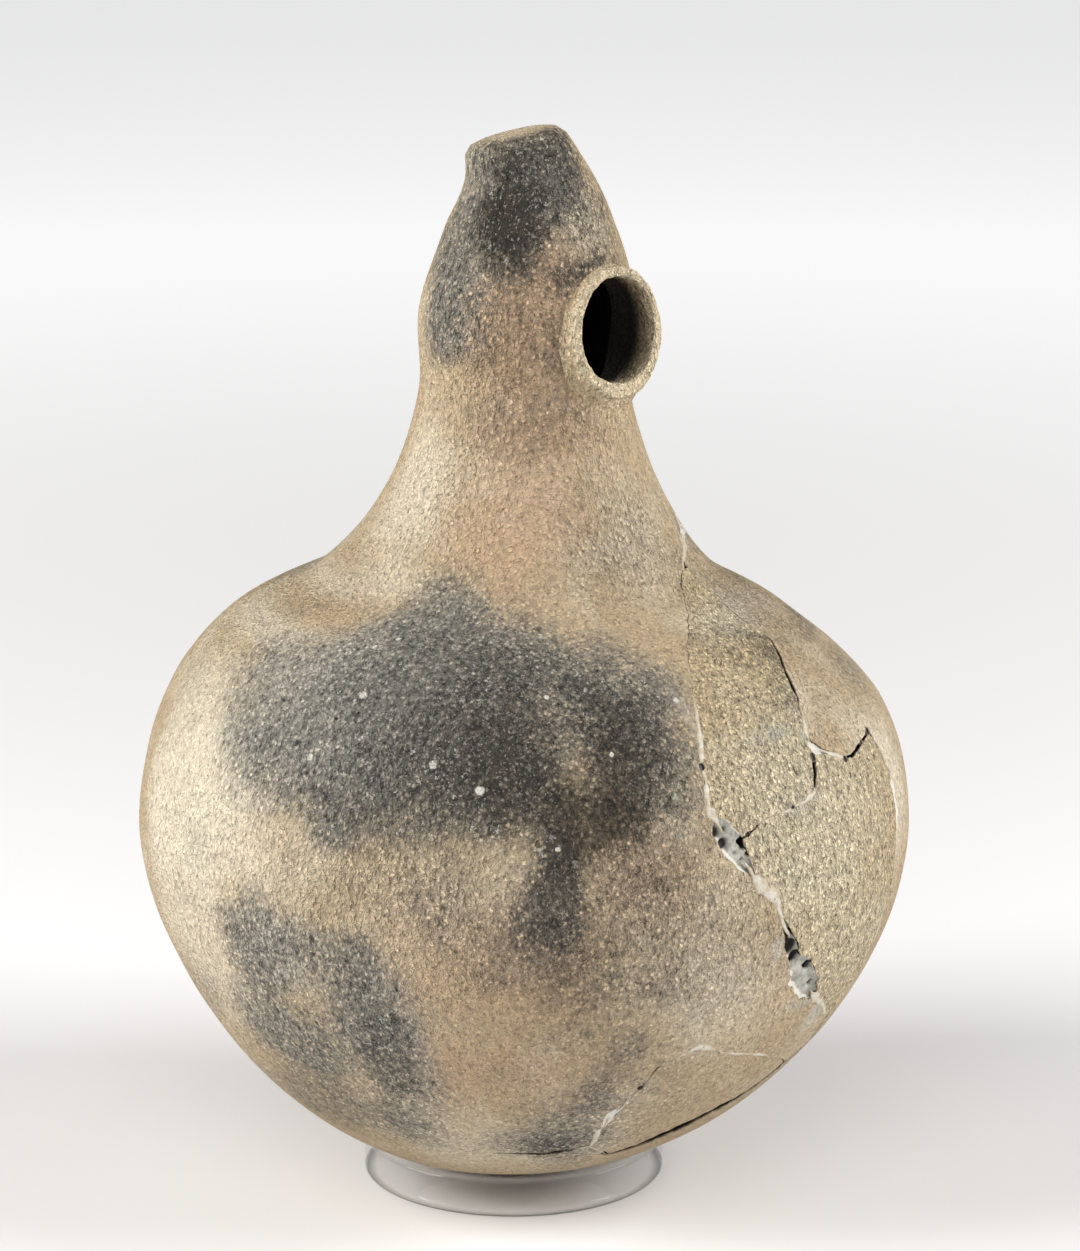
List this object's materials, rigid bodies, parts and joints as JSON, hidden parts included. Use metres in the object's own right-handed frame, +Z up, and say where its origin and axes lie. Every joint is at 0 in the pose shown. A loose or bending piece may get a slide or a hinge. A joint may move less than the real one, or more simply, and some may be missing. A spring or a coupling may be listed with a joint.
{
  "type": "hooded jar",
  "caption": "Hollow hand-built clay bottle with a closed, leaning hood and a collared side mouth, mended with sherds and fills, resting in a clear display ring.",
  "frame": {"origin": "on the table, under the middle of the belly", "axes": "+Z up along the belly's axis; the side mouth faces -Y; +X is to the right of someone facing the mouth"},
  "size_m": [0.1604, 0.1604, 0.222],
  "materials": {
    "buff_clay": "matte",
    "collar_clay": "matte",
    "yellow_clay": "matte",
    "grey_fill": "matte",
    "clear_acrylic": "polished"
  },
  "bodies": {
    "ring": {"display_ring": "clear_acrylic"},
    "jar": {"vessel_body": "buff_clay", "mouth_collar": "collar_clay", "shoulder_sherd": "yellow_clay", "side_sherd": "yellow_clay", "base_edge_sherd": "yellow_clay", "neck_fill": "grey_fill", "upper_fill": "grey_fill", "lower_fill": "grey_fill", "junction_fill": "grey_fill", "side_fill": "grey_fill", "base_fill": "grey_fill"}
  },
  "joints": [
    {"name": "jar_lift", "type": "slide", "parent": "ring", "child": "jar", "axis": [0, 0, 1], "range_m": [0, 0.06]}
  ]
}
